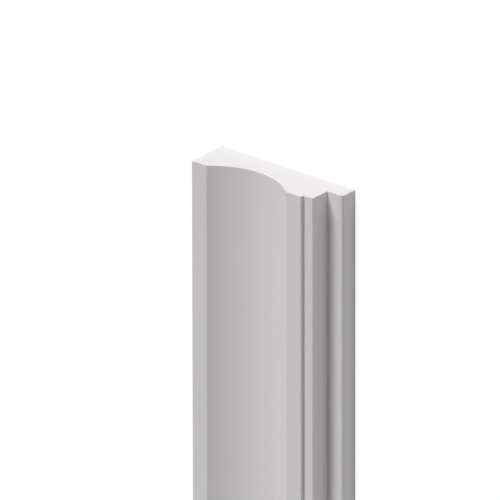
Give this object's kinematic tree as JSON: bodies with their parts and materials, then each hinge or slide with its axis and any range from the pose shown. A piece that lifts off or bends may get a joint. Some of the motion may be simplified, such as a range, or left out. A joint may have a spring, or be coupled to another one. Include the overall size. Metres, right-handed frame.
{
  "type": "wall panel moulding",
  "caption": "Long white wall moulding with a flat back, a wide shallow cove between a lip and a raised band, a fine quirk and a stepped ledge; trims or frames wall panels.",
  "frame": {"origin": "middle of the flat back, halfway along the length, at the level of the floor that it lies on", "axes": "+X across the face from the lip to the stepped ledge, +Y along the length, +Z out of the face"},
  "size_m": [0.0716, 2, 0.02],
  "materials": {
    "polymer": "matte"
  },
  "bodies": {
    "root": {"panel_moulding": "polymer"}
  },
  "joints": []
}
